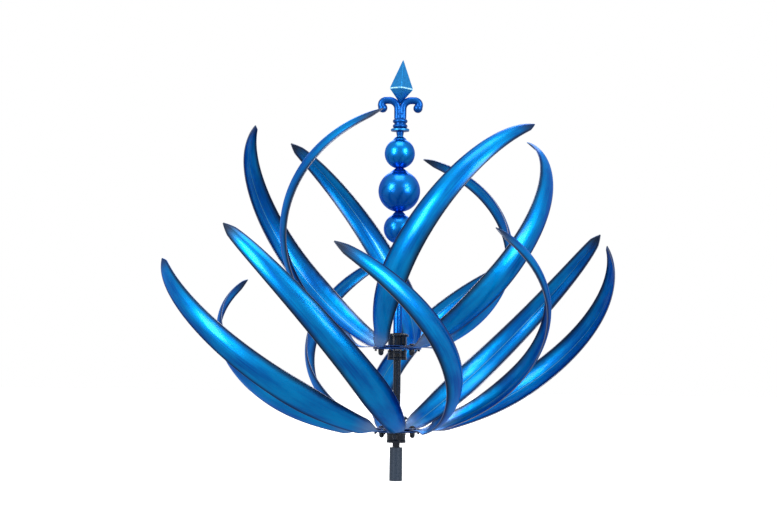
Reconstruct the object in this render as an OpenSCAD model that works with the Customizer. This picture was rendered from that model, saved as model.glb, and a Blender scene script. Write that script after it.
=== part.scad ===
// Kinetic wind sculpture: two counter-swept tiers of leaf blades that turn on one fixed vertical axle,
// with a stack of balls and a fleur finial on top. The origin is the centre of the post's open lower end.

/* [Post and axle] */
// Outer diameter of the support post
post_d = 17.5; // [14:0.5:25]
// Height of the post's top face above its open end
post_h = 45; // [35:1:80]
// Diameter of the socket that slips over the pole
socket_d = 13.5; // [8:0.5:20]
// Depth of the pole socket
socket_depth = 30; // [15:1:60]
// Diameter of the fixed axle through both hubs
axle_d = 10; // [8:0.5:12]
// Diameter of the thinner rod above the upper hub
rod_d = 8; // [6:0.5:8]

/* [Hubs] */
// Height of the lower hub disc's underside
lower_hub_z = 65.2; // [62:0.1:80]
// Height of the upper hub disc's underside
upper_hub_z = 176.2; // [160:0.1:200]
// Hub disc diameter
disc_d = 65; // [60:1:80]
// Hub disc thickness
disc_t = 2.6; // [2:0.1:4]
// Outer diameter of the bearing housing
housing_d = 25; // [24:0.5:28]
// Diameter of the dust cap on the housing
cap_d = 30; // [28:0.5:36]
// Diameter of the shaft collar under each hub
collar_d = 26; // [22:0.5:28]
// Height of the shaft collar
collar_h = 13; // [8:0.5:14]
// Circle on which the three hub bolts stand
bolt_circle_d = 48; // [46:0.5:52]
// Circle on which the blade rivets stand
rivet_circle_d = 59; // [57:0.5:60]

/* [Blades] */
// Number of blades in the lower tier
lower_blades = 9; // [9:1:9]
// Number of blades in the upper tier
upper_blades = 6; // [6:1:6]
// Length of a blade along its middle
blade_l = 487; // [440:1:520]
// Widest chord of a blade
blade_w = 46; // [30:1:50]
// Sheet thickness of a blade
blade_t = 1.2; // [1:0.1:2]
// Depth of a blade's hollow, as a part of its width
blade_cup = 0.19; // [0.05:0.01:0.25]
// Width of the flat tab that is riveted to the hub
tab_w = 7; // [6:0.5:7.5]

/* [Lower tier] */
// Azimuth of the first lower blade's root
lower_first = -36; // [-180:1:180]
// Climb of a lower blade where it leaves the hub
lower_climb = 9; // [0:1:20]
// Angle between a lower blade's start and the radius
lower_sweep = 15; // [0:1:30]
// Roll of the plane that a lower blade bends in
lower_roll = -49; // [-55:1:-40]
// Bend at a lower blade's root, in degrees per blade length
lower_root_bend = 108; // [95:1:120]
// Bend at a lower blade's tip, in degrees per blade length
lower_tip_bend = 146; // [130:1:155]
// Radius at which a lower blade's middle line starts
lower_root_r = 17; // [16:0.5:20]
// Drop of that start below the hub disc
lower_root_drop = 4.5; // [4:0.5:8]

/* [Upper tier] */
// Azimuth of the first upper blade's root
upper_first = 154; // [-180:1:180]
// Climb of an upper blade where it leaves the hub
upper_climb = 14; // [5:1:20]
// Angle between an upper blade's start and the radius
upper_sweep = 40; // [30:1:45]
// Roll of the plane that an upper blade bends in
upper_roll = -36; // [-45:1:-30]
// Bend at an upper blade's root, in degrees per blade length
upper_root_bend = 130; // [120:1:140]
// Bend at an upper blade's tip, in degrees per blade length
upper_tip_bend = 160; // [150:1:165]
// Radius at which an upper blade's middle line starts
upper_root_r = 19; // [17:0.5:21]
// Drop of that start below the hub disc
upper_root_drop = 8.5; // [6:0.5:10]

/* [Finial] */
// Diameter of the large ball
large_ball_d = 56.5; // [50:0.5:60]
// Diameter of the two small balls
small_ball_d = 41; // [36:0.5:42]
// Height of the large ball's centre
large_ball_z = 390; // [385:0.5:395]
// Height of the lower small ball's centre
lower_ball_z = 339; // [338:0.5:346]
// Height of the upper small ball's centre
upper_ball_z = 441; // [437:0.5:446]
// Diameter of the tube below the balls
stem_d = 11.5; // [10:0.5:14]
// Height of the finial's flange
finial_z = 471.4; // [466:0.1:476]
// Half width of the spear head, from its middle to a corner
spear_r = 15.7; // [12:0.1:20]
// Sideways lean of the spear head
spear_lean = 3; // [0:1:5]

/* [Hidden] */
TIERS = ["lower", "upper"];
HUB_PIECES = ["hub_disc", "clamp_ring", "bearing_housing", "dust_cap", "outer_rings", "outer_spacer",
    "inner_rings", "inner_spacer", "bearing_balls", "hub_bolts", "dome_nuts", "blade_rivets"];

$fn = 64;
// Radial clearances: of a slip fit, and of a face that turns past another
slip = 0.03;
play = 0.3;

// Ball bearing, 10 x 19 x 5
bearing_d = 19;
bearing_h = 5;
inner_ring_d = 12.9;
outer_ring_bore_d = 16.1;
ball_d = 2.5;
ball_pitch_r = (inner_ring_d + outer_ring_bore_d) / 4;
balls_per_row = 9;
// Heights above a hub disc's underside
lip_t = 0.9;
bearing_z = [lip_t, 12];
housing_top = 17;
cap_top = 21.3;
// The dome nuts and bolts
hub_bolts = 3;
bolt_d = 5;
nut_d = 7.4;
nut_h = 8.4;
bolt_head_d = 8.5;
bolt_head_h = 2.6;
rivet_d = 3;
rivet_head_d = 5;
set_screw_d = 5;
// Gap between a shaft collar and the hub disc that turns above it
collar_gap = 1.2;
// The tabs lie on the disc, and the clamp ring lies on the tabs
tab_z = disc_t + 0.05;
clamp_z = tab_z + blade_t + 0.05;
clamp_t = 1.6;
clamp_d = rivet_circle_d - rivet_head_d - 0.4;
// Longer than any hub piece is thick, so that a cut runs right through
through = 9;
// The housing's spigot in the disc, and the opening in its lower lip
spigot_d = housing_d - 3;
lip_bore_d = bearing_d - 2.2;
cap_rim_h = 3;
cap_slope_d = 2;
cap_recess_h = 1.5;
rivet_head_h = 1.4;
rivet_tail_h = 2.5;
// The two raised lips on a shaft collar, and its set screw
collar_lower_lip_h = 3;
collar_upper_lip_h = 2.5;
collar_waist = 1;
set_screw_h = 6;
hex_key_d = 2.5;
// Play of a ring that is loose on the axle, and between stacked faces
ring_play = 0.6;
face_gap = 0.02;

// Each tier's bend as one list, which the names below index. A sense of 1 sweeps anticlockwise from above.
lower_bend = [-1, lower_first, lower_climb, lower_sweep, lower_roll,
    lower_root_bend, lower_tip_bend, lower_root_r, lower_root_drop];
upper_bend = [1, upper_first, upper_climb, upper_sweep, upper_roll,
    upper_root_bend, upper_tip_bend, upper_root_r, upper_root_drop];
SENSE = 0;
FIRST = 1;
CLIMB = 2;
SWEEP = 3;
ROLL = 4;
ROOT_BEND = 5;
TIP_BEND = 6;
ROOT_R = 7;
ROOT_DROP = 8;
// How each blade's set differs from its tier's pattern, by hand bending: turn, lift and roll in degrees
lower_set = [[0, -3, 1], [2, 4, -1], [-5, 1, 1], [-3, 1, -5], [3, 0, 1], [-1, 2, -1],
    [-2, -2, 6], [4, -1, 3], [3, -4, -5]];
upper_set = [[0, -1, 2], [1.5, 5, 4], [2, 1, 0.5], [-3, 1, -3], [3, -5, -2], [-4, 1, 0]];

// ---- blade shape ----
// Stations along a blade, closer together at both ends, and points across it
stations = 30;
strips = 6;
function smooth(t) = let (c = min(1, max(0, t))) c * c * (3 - 2 * c);
function station(i) = let (t = i / stations) 0.25 * t + 0.75 * smooth(t);

// Leaf outline: a narrow root, a belly at a third of the length and a rounded point
root_share = 0.44;
belly_at = 0.37;
tip_power = 0.36;
tip_w = 1.5;
// The last part of the length narrows to a point
point_share = 0.035;
point_power = 0.42;
function chord(u) = max(tip_w, blade_w * pow(1 - u, tip_power) * pow(min(1, (1 - u) / point_share), point_power)
    * (root_share + (1 - root_share) * smooth(u / belly_at)));
// The sheet twists back to level over its length
root_twist = -6;
function twist(u) = root_twist * (1 - u);
// The tab lies flat on the disc up to the first share of the length, and is hollow leaf from the second
tab_flat = 0.04;
tab_share = 0.12;

function unit(v) = v / norm(v);
function turned(bend, u) = bend[ROOT_BEND] * u + (bend[TIP_BEND] - bend[ROOT_BEND]) * u * u / 2;
// The curved middle line in its own plane, summed in short straight steps
fine = 240;
function line_points(bend) = let (step = blade_l / fine)
    [for (i = 0, x = 0, y = 0; i <= fine;
          x = x + step * cos(turned(bend, (i + 0.5) / fine)),
          y = y + step * sin(turned(bend, (i + 0.5) / fine)),
          i = i + 1) [x, y]];

function lift_roll(p, set) = let (
    x = p[0] * cos(set[1]) - p[2] * sin(set[1]),
    z = p[0] * sin(set[1]) + p[2] * cos(set[1]))
    [x, p[1] * cos(set[2]) - z * sin(set[2]), p[1] * sin(set[2]) + z * cos(set[2])];
function turn(p, angle) = [p[0] * cos(angle) - p[1] * sin(angle), p[0] * sin(angle) + p[1] * cos(angle), p[2]];

// A direction or point of the pattern, mirrored for a clockwise tier and set by hand
function placed(p, bend, set) = lift_roll([p[0], p[1] * bend[SENSE], p[2]], set);

// One ring of the blade's skin at station u: its upper face, then its lower face backwards
function blade_ring(bend, set, line, u) = let (
    climb = bend[CLIMB],
    sweep = bend[SWEEP],
    start = [cos(climb) * cos(sweep), cos(climb) * sin(sweep), sin(climb)],
    rise = [-sin(climb) * cos(sweep), -sin(climb) * sin(sweep), cos(climb)],
    inward = rise * cos(bend[ROLL]) + cross(start, rise) * sin(bend[ROLL]),
    width_dir = cross(start, inward),
    flow = turned(bend, u),
    hollow_dir = inward * cos(flow) - start * sin(flow),
    along = line[round(u * fine)],
    middle = placed(start * along[0] + inward * along[1], bend, set),
    leaf_mid = turn(middle + [bend[ROOT_R], 0, -bend[ROOT_DROP]], set[0]),
    leaf_across = turn(placed(width_dir * cos(twist(u)) + hollow_dir * sin(twist(u)), bend, set), set[0]),
    leaf_hollow = turn(placed(hollow_dir * cos(twist(u)) - width_dir * sin(twist(u)), bend, set), set[0]),
    tab_dir = [cos(sweep), bend[SENSE] * sin(sweep), 0],
    tab_mid = [bend[ROOT_R], 0, tab_z + blade_t / 2] + tab_dir * u * blade_l,
    tab_across = [sin(sweep), -bend[SENSE] * cos(sweep), 0],
    blend = smooth((u - tab_flat) / (tab_share - tab_flat)),
    mid = tab_mid * (1 - blend) + leaf_mid * blend,
    a = unit(tab_across * (1 - blend) + leaf_across * blend),
    up = [0, 0, 1] * (1 - blend) + leaf_hollow * blend,
    h = unit(up - a * (up * a)),
    w = tab_w * (1 - blend) + chord(u) * blend,
    cup = blade_cup * blend)
    [for (face = [1, -1]) for (j = [0:strips])
        let (v = face * (2 * j / strips - 1))
        mid + a * (v * w / 2) + h * (cup * w * v * v)
            + face * blade_t / 2 * unit(h - a * (4 * cup * v))];

module blade(bend, set) {
    line = line_points(bend);
    ring = 2 * (strips + 1);
    points = [for (i = [0:stations]) each blade_ring(bend, set, line, station(i))];
    skin = [for (i = [0:stations - 1]) for (j = [0:ring - 1]) let (
        a = i * ring + j, b = i * ring + (j + 1) % ring, c = a + ring, d = b + ring)
        each [[a, b, d], [a, d, c]]];
    root = [for (j = [0:strips - 1]) each [[j, ring - 1 - j, j + 1], [j + 1, ring - 1 - j, ring - 2 - j]]];
    tip = [for (f = root) [for (k = [2, 1, 0]) f[k] + stations * ring]];
    faces = concat(skin, root, tip);
    polyhedron(points, bend[SENSE] > 0 ? faces : [for (f = faces) [f[2], f[1], f[0]]], convexity = 8);
}

// ---- hub pieces, all with their zero height at the disc's underside ----
module tube(outer_d, bore_d, h) {
    difference() {
        cylinder(d = outer_d, h = h);
        translate([0, 0, -1]) cylinder(d = bore_d, h = h + 2);
    }
}

module around(count, circle_d, first) {
    for (i = [0:count - 1]) rotate(first + i * 360 / count) translate([circle_d / 2, 0, 0]) children();
}

module hub_disc(count, rivets_at, bolts_at) {
    difference() {
        cylinder(d = disc_d, h = disc_t);
        translate([0, 0, -1]) cylinder(d = spigot_d + 2 * slip, h = through);
        translate([0, 0, -1]) around(hub_bolts, bolt_circle_d, bolts_at)
            cylinder(d = bolt_d + 2 * slip, h = through);
        translate([0, 0, -1]) around(count, rivet_circle_d, rivets_at)
            cylinder(d = rivet_d + 2 * slip, h = through);
    }
}

module clamp_ring(bolts_at) {
    translate([0, 0, clamp_z]) difference() {
        cylinder(d = clamp_d, h = clamp_t);
        translate([0, 0, -1]) cylinder(d = housing_d + 2 * slip, h = through);
        translate([0, 0, -1]) around(hub_bolts, bolt_circle_d, bolts_at)
            cylinder(d = bolt_d + 2 * slip, h = through);
    }
}

module bearing_housing() {
    difference() {
        union() {
            cylinder(d = spigot_d, h = housing_top);
            translate([0, 0, disc_t]) cylinder(d = housing_d, h = housing_top - disc_t);
        }
        translate([0, 0, -1]) cylinder(d = lip_bore_d, h = 3);
        translate([0, 0, lip_t]) cylinder(d = bearing_d + 2 * slip, h = housing_top);
    }
}

module dust_cap() {
    translate([0, 0, housing_top + 0.05]) difference() {
        union() {
            cylinder(d = cap_d, h = cap_rim_h);
            cylinder(d1 = cap_d - cap_slope_d, d2 = cap_d - 2 * cap_slope_d, h = cap_top - housing_top - 0.05);
        }
        translate([0, 0, -1]) cylinder(d = inner_ring_d + 2 * play, h = through);
        translate([0, 0, -1]) cylinder(d = outer_ring_bore_d + 0.8, h = cap_recess_h + 1);
    }
}

module race_cut() {
    rotate_extrude() translate([ball_pitch_r, bearing_h / 2]) circle(d = ball_d + 0.1);
}

module outer_rings() {
    for (z = bearing_z) translate([0, 0, z]) difference() {
        tube(bearing_d, outer_ring_bore_d, bearing_h);
        race_cut();
    }
}

module inner_rings() {
    for (z = bearing_z) translate([0, 0, z]) difference() {
        tube(inner_ring_d, axle_d + 2 * slip, bearing_h);
        race_cut();
    }
}

module bearing_balls() {
    for (z = bearing_z) translate([0, 0, z + bearing_h / 2])
        around(balls_per_row, 2 * ball_pitch_r, 0) sphere(d = ball_d, $fn = 24);
}

module outer_spacer() {
    translate([0, 0, bearing_z[0] + bearing_h + face_gap])
        tube(bearing_d, outer_ring_bore_d + 1, bearing_z[1] - bearing_z[0] - bearing_h - 2 * face_gap);
}

module inner_spacer() {
    translate([0, 0, bearing_z[0] + bearing_h + face_gap]) tube(inner_ring_d - ring_play,
        axle_d + 2 * slip, bearing_z[1] - bearing_z[0] - bearing_h - 2 * face_gap);
}

module hub_bolt_set(at) {
    around(hub_bolts, bolt_circle_d, at) {
        translate([0, 0, clamp_z + clamp_t + face_gap])
            cylinder(d1 = bolt_head_d, d2 = bolt_head_d - 2, h = bolt_head_h);
        translate([0, 0, -nut_h / 2]) cylinder(d = bolt_d, h = nut_h / 2 + clamp_z + clamp_t + 0.1);
    }
}

module dome_nut_set(at) {
    around(hub_bolts, bolt_circle_d, at) difference() {
        union() {
            translate([0, 0, -nut_h + nut_d / 2]) cylinder(d = nut_d, h = nut_h - nut_d / 2 - face_gap);
            translate([0, 0, -nut_h + nut_d / 2]) sphere(d = nut_d);
        }
        translate([0, 0, -nut_h / 2 - 0.3]) cylinder(d = bolt_d + 2 * slip, h = nut_h);
    }
}

module blade_rivet_set(count, at) {
    around(count, rivet_circle_d, at) {
        translate([0, 0, clamp_z - 0.03])
            cylinder(d1 = rivet_head_d, d2 = rivet_head_d - 1.6, h = rivet_head_h);
        translate([0, 0, -rivet_tail_h]) cylinder(d = rivet_d, h = clamp_z + rivet_tail_h);
    }
}

// ---- fixed stack ----
module shaft_collar(top_z) {
    translate([0, 0, top_z - collar_h]) difference() {
        union() {
            tube(collar_d - collar_waist, axle_d + 2 * slip, collar_h);
            tube(collar_d, axle_d + 2 * slip, collar_lower_lip_h);
            translate([0, 0, collar_h - collar_upper_lip_h])
                tube(collar_d, axle_d + 2 * slip, collar_upper_lip_h);
        }
        translate([0, 0, collar_h / 2]) rotate([90, 0, 0]) cylinder(d = set_screw_d + 2 * slip, h = collar_d);
    }
}

module set_screw(top_z) {
    translate([0, -axle_d / 2 - 0.05, top_z - collar_h / 2]) rotate([90, 0, 0]) difference() {
        cylinder(d = set_screw_d, h = set_screw_h);
        translate([0, 0, set_screw_h / 2]) cylinder(d = hex_key_d, h = set_screw_h, $fn = 6);
    }
}

module thrust_washer(hub_z) {
    translate([0, 0, hub_z - collar_gap + face_gap])
        tube(inner_ring_d - 0.4, axle_d + 2 * slip, collar_gap + bearing_z[0] - 2 * face_gap);
}

// Balls are thin shells, and their caps are low cones that reach a little up the ball above
shell = 1.2;
small_cap_w = 18;
large_cap_w = 24;
cap_top_w = 10.8;
lower_cap_reach = 0.35;
large_cap_reach = 0.5;
ball_gap = 0.08;

module ball(d, z) {
    difference() {
        translate([0, 0, z]) sphere(d = d);
        translate([0, 0, z]) sphere(d = d - 2 * shell);
        translate([0, 0, z - d]) cylinder(d = rod_d + 2 * slip, h = 2 * d);
    }
}

// A low cone whose underside sits on a ball, and whose top takes the ball above it
module ball_cap(d, z, cap_w, top_w, top_z, next_d, next_z) {
    rim_z = z + sqrt(d * d - cap_w * cap_w) / 2;
    difference() {
        translate([0, 0, rim_z]) cylinder(d1 = cap_w, d2 = top_w, h = top_z - rim_z);
        translate([0, 0, z]) sphere(d = d + 2 * ball_gap);
        if (next_d > 0) translate([0, 0, next_z]) sphere(d = next_d + 2 * ball_gap);
        translate([0, 0, z]) cylinder(d = rod_d + 2 * slip, h = d);
    }
}

// The axle stands on a 2 mm floor above the pole socket
axle_from = socket_depth + 2;

module support_post() {
    color("slategray") difference() {
        cylinder(d = post_d, h = post_h);
        translate([0, 0, -1]) cylinder(d = socket_d, h = socket_depth + 1);
        translate([0, 0, axle_from]) cylinder(d = axle_d + 2 * slip, h = post_h);
    }
}

rod_from = upper_hub_z + cap_top + 0.7;
rod_top = finial_z + 12;
module axle() {
    color("black") {
        translate([0, 0, axle_from + 0.05]) cylinder(d = axle_d, h = rod_from - axle_from - 0.05);
        translate([0, 0, rod_from - 1]) cylinder(d = rod_d, h = rod_top - rod_from + 1);
    }
}

module finial_stem() {
    top = lower_ball_z - small_ball_d / 2;
    color("royalblue") difference() {
        translate([0, 0, rod_from + 0.05]) tube(stem_d, rod_d + 2 * slip, top - rod_from + 1);
        translate([0, 0, lower_ball_z]) sphere(d = small_ball_d + 0.04);
    }
}

module retaining_ring(hub_z) {
    translate([0, 0, hub_z + housing_top + face_gap])
        tube(inner_ring_d - ring_play, axle_d + 2 * slip, cap_top - housing_top + 0.6);
}

// Finial heights above its flange
neck_d = 8.4;
neck_h = 7.6;
flange_d = 25;
flange_h = 3.2;
ring_z = [3.8, 10.6];
ring_r = 3.1;
ring_mid_r = 6.9;
core_d = 16;
stem_z = 17;
scroll_z = stem_z + 13.6;
scroll_r = 11.4;
scroll_x = 3.6;
// Level stretch between the quarter turn and the curl
level_l = 4.4;
curl_r = 6.5;
arm_d = 9.4;
curl_ball_d = 12.6;
// The curl ends in a ball, out and down from the curl's middle
curl_ball_x = 4.4;
curl_ball_drop = 4;
boss_d = 13;
boss_z = ring_z[1] + 2 * ring_r + 0.05;
boss_h = stem_z + 6.45 - boss_z;
spear_bottom_z = scroll_z + scroll_r - arm_d / 2 + 0.4;
spear_low_h = 20.4;
spear_high_h = 38.9;
spear_point_r = 0.6;

module finial_collar() {
    color("royalblue") translate([0, 0, finial_z]) difference() {
        union() {
            translate([0, 0, -neck_h]) cylinder(d1 = neck_d, d2 = neck_d + 2.6, h = neck_h);
            cylinder(d = flange_d, h = flange_h);
            for (z = ring_z) translate([0, 0, z + ring_r]) rotate_extrude() union() {
                translate([ring_mid_r, 0]) circle(r = ring_r);
                translate([0, -ring_r]) square([ring_mid_r, 2 * ring_r]);
            }
            cylinder(d = core_d, h = stem_z - 0.6);
        }
        translate([0, 0, -20]) cylinder(d = rod_d + 2 * slip, h = rod_top - finial_z + 20.5);
        translate([0, 0, upper_ball_z - finial_z]) sphere(d = small_ball_d + 0.04);
    }
}

module scroll_arm() {
    turn_x = scroll_x + scroll_r;
    curl_x = turn_x + level_l;
    curl_z = scroll_z + scroll_r - curl_r;
    translate([turn_x, 0, scroll_z]) rotate([90, 0, 0]) rotate(90)
        rotate_extrude(angle = 90) translate([scroll_r, 0]) circle(d = arm_d);
    // Swellings cover the joints of the arcs
    for (x = [turn_x, curl_x]) translate([x, 0, scroll_z + scroll_r]) sphere(d = arm_d + 0.6);
    translate([turn_x, 0, scroll_z + scroll_r]) rotate([0, 90, 0]) cylinder(d = arm_d, h = level_l);
    translate([curl_x, 0, curl_z]) rotate([90, 0, 0]) rotate(-30)
        rotate_extrude(angle = 120) translate([curl_r, 0]) circle(d = arm_d);
    translate([curl_x + curl_ball_x, 0, curl_z - curl_ball_drop]) sphere(d = curl_ball_d);
    translate([scroll_x, 0, stem_z]) cylinder(d = arm_d, h = scroll_z - stem_z);
}

module finial_scrolls() {
    color("royalblue") translate([0, 0, finial_z]) {
        scroll_arm();
        mirror([1, 0, 0]) scroll_arm();
        translate([0, 0, boss_z]) cylinder(d = boss_d, h = boss_h);
    }
}

module finial_spear() {
    color("dodgerblue") translate([0, 0, finial_z + spear_bottom_z]) rotate([0, spear_lean, 0]) {
        cylinder(r1 = spear_point_r, r2 = spear_r, h = spear_low_h, $fn = 4);
        translate([0, 0, spear_low_h]) cylinder(r1 = spear_r, r2 = spear_point_r, h = spear_high_h, $fn = 4);
    }
}

// ---- the two hubs, where each tier's pieces are placed ----
// The bolts stand between tabs
lower_bolts_at = 265;
upper_bolts_at = 84;
module at_hub(tier) {
    translate([0, 0, tier == "lower" ? lower_hub_z : upper_hub_z]) children();
}
function bolts_at(tier) = tier == "lower" ? lower_bolts_at : upper_bolts_at;
function bend_of(tier) = tier == "lower" ? lower_bend : upper_bend;
function count_of(tier) = tier == "lower" ? lower_blades : upper_blades;
// A rivet stands where the tab's middle line crosses the rivet circle
function rivet_at(tier) = let (b = bend_of(tier), r = rivet_circle_d / 2)
    b[FIRST] + b[SENSE] * (b[SWEEP] - asin(b[ROOT_R] * sin(b[SWEEP]) / r));

module tier_blade(tier, i) {
    bend = bend_of(tier);
    set = (tier == "lower" ? lower_set : upper_set)[i - 1];
    color("mediumblue") at_hub(tier) rotate(bend[FIRST] + (i - 1) * 360 / count_of(tier)) blade(bend, set);
}

// Each hub's pieces, by the tier's name
module hub_piece(tier, piece) {
    at = bolts_at(tier);
    at_hub(tier) {
        if (piece == "hub_disc") color("navy") hub_disc(count_of(tier), rivet_at(tier), at);
        if (piece == "clamp_ring") color("navy") clamp_ring(at);
        if (piece == "bearing_housing") color("black") bearing_housing();
        if (piece == "dust_cap") color("black") dust_cap();
        if (piece == "outer_rings") color("silver") outer_rings();
        if (piece == "outer_spacer") color("silver") outer_spacer();
        if (piece == "inner_rings") color("silver") inner_rings();
        if (piece == "inner_spacer") color("silver") inner_spacer();
        if (piece == "bearing_balls") color("silver") bearing_balls();
        if (piece == "hub_bolts") color("black") hub_bolt_set(at);
        if (piece == "dome_nuts") color("black") dome_nut_set(at);
        if (piece == "blade_rivets") color("black") blade_rivet_set(count_of(tier), rivet_at(tier));
    }
}

module collar_set_screws() {
    color("dimgray") for (z = [lower_hub_z, upper_hub_z]) set_screw(z - collar_gap);
}

module thrust_washers() {
    color("silver") for (z = [lower_hub_z, upper_hub_z]) thrust_washer(z);
}

module lower_ball_cap() {
    color("royalblue") ball_cap(small_ball_d, lower_ball_z, small_cap_w, cap_top_w,
        large_ball_z - large_ball_d / 2 + lower_cap_reach, large_ball_d, large_ball_z);
}

module large_ball_cap() {
    color("royalblue") ball_cap(large_ball_d, large_ball_z, large_cap_w, cap_top_w,
        upper_ball_z - small_ball_d / 2 + large_cap_reach, small_ball_d, upper_ball_z);
}

module upper_ball_cap() {
    color("royalblue") ball_cap(small_ball_d, upper_ball_z, small_cap_w, cap_top_w,
        finial_z - neck_h - 0.05, 0, 0);
}

support_post();
axle();
color("black") shaft_collar(lower_hub_z - collar_gap);  // lower_shaft_collar
color("black") shaft_collar(upper_hub_z - collar_gap);  // upper_shaft_collar
collar_set_screws();
thrust_washers();
color("black") retaining_ring(lower_hub_z);  // axle_retaining_ring
color("black") retaining_ring(upper_hub_z);  // stem_seat_sleeve
finial_stem();
color("royalblue") ball(small_ball_d, lower_ball_z);  // lower_ball
color("royalblue") ball(large_ball_d, large_ball_z);  // large_ball
color("royalblue") ball(small_ball_d, upper_ball_z);  // upper_ball
lower_ball_cap();
large_ball_cap();
upper_ball_cap();
finial_collar();
finial_scrolls();
finial_spear();
for (tier = TIERS) for (piece = HUB_PIECES)
    hub_piece(tier, piece);
for (tier = TIERS) for (i = [1:count_of(tier)])
    tier_blade(tier, i);
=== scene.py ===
"""Looks of a two-tier kinetic wind sculpture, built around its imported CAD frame.

Sizes of the object are in millimetres, and MM turns them to metres when a mesh is made. The stage's
lights and camera are placed in metres. +Z is up along the axle, and -Y is the front.
"""
import math

import bpy
import numpy as np
from mathutils import Matrix, Vector


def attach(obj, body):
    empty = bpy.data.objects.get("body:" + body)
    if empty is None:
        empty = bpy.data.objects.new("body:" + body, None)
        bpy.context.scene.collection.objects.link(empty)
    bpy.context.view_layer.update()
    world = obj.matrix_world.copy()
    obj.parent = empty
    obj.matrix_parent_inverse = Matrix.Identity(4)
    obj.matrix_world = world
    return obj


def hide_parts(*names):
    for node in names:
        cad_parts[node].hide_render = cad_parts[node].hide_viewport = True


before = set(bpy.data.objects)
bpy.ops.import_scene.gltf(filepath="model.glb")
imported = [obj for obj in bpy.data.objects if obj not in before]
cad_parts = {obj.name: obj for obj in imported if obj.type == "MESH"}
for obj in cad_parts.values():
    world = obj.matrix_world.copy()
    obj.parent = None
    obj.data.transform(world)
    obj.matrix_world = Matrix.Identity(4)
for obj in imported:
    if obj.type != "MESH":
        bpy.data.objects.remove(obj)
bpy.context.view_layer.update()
MM = 0.001

# ---------------------------------------------------------------- driving sizes, as in the CAD model
TIERS = {
    # Sense 1 sweeps anticlockwise seen from above. Bends are in degrees per blade length, and set is
    # the small turn, lift and roll of each blade, in degrees.
    "lower": {"count": 9, "sense": -1, "first": -36, "climb": 9, "sweep": 15, "roll": -49,
              "root_bend": 108, "tip_bend": 146, "root_r": 17, "root_drop": 4.5, "hub_z": 65.2,
              "bolts_at": 265,
              "set": [(0, -3, 1), (2, 4, -1), (-5, 1, 1), (-3, 1, -5), (3, 0, 1), (-1, 2, -1),
                      (-2, -2, 6), (4, -1, 3), (3, -4, -5)]},
    "upper": {"count": 6, "sense": 1, "first": 154, "climb": 14, "sweep": 40, "roll": -36,
              "root_bend": 130, "tip_bend": 160, "root_r": 19, "root_drop": 8.5, "hub_z": 176.2,
              "bolts_at": 84,
              "set": [(0, -1, 2), (1.5, 5, 4), (2, 1, 0.5), (-3, 1, -3), (3, -5, -2), (-4, 1, 0)]},
}
BLADE_L = 487
BLADE_W = 46
BLADE_T = 1.2
# Depth of the blade's hollow, as a share of its width
BLADE_CUP = 0.19
TAB_W = 7
TAB_FLAT = 0.04
TAB_SHARE = 0.12
ROOT_SHARE = 0.44
BELLY_AT = 0.37
TIP_POWER = 0.36
TIP_W = 1.5
POINT_SHARE = 0.035
POINT_POWER = 0.42
ROOT_TWIST = -6
DISC_D = 65
DISC_T = 2.6
DISC_BORE_R = 11.05
# Gap between faces that lie on each other
FACE_GAP = 0.05
TAB_Z = DISC_T + FACE_GAP
CLAMP_Z = TAB_Z + BLADE_T + FACE_GAP
CLAMP_T = 1.6
CLAMP_TOP = CLAMP_Z + CLAMP_T
CLAMP_R = 26.8
CLAMP_BORE_R = 12.55
SPIGOT_R = 11
HOUSING_R = 12.5
HOUSING_TOP = 17
# The lip under the lower bearing, and the seat of both bearings
LIP_R = 8.4
LIP_T = 0.9
BEARING_R = 9.53
COVER_Z = HOUSING_TOP + FACE_GAP
COVER_R = 15
COVER_FLANGE_T = 3
COVER_NECK_R = 13
COVER_BORE_R = 8.45
COVER_HOLE_R = 6.75
COVER_BORE_DEPTH = 1.5
CAP_TOP = 21.3
HUB_BOLTS = 3
BOLT_R = 2.4
BOLT_CIRCLE_D = 48
RIVET_CIRCLE_D = 59
NUT_H = 8.4
NUT_CORNER_R = 4.05
NUT_FOOT = -3.4
NUT_DOME_R = 3.5


# ---------------------------------------------------------------- mesh tools
SHARP_ANGLE = 35


def make_object(name, vertices, faces, material, smooth_angle=SHARP_ANGLE):
    """A mesh object from millimetre vertices, with edges sharper than smooth_angle left sharp."""
    mesh = bpy.data.meshes.new(name)
    mesh.from_pydata([tuple(c * MM for c in v) for v in vertices], [], faces)
    mesh.validate()
    mesh.update()
    mesh.polygons.foreach_set("use_smooth", [True] * len(mesh.polygons))
    mesh.set_sharp_from_angle(angle=math.radians(smooth_angle))
    mesh.materials.append(material)
    piece = bpy.data.objects.new(name, mesh)
    bpy.context.scene.collection.objects.link(piece)
    return piece


def bevelled(piece, width, segments=3):
    """Rounds the sharp edges of a piece."""
    modifier = piece.modifiers.new("bevel", "BEVEL")
    modifier.width = width * MM
    modifier.segments = segments
    modifier.limit_method = "ANGLE"
    modifier.angle_limit = math.radians(SHARP_ANGLE)
    return piece


def apply_modifiers(piece):
    """Bakes a piece's modifiers into its mesh."""
    graph = bpy.context.evaluated_depsgraph_get()
    mesh = bpy.data.meshes.new_from_object(piece.evaluated_get(graph))
    piece.modifiers.clear()
    old = piece.data
    piece.data = mesh
    bpy.data.meshes.remove(old)
    return piece


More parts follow.
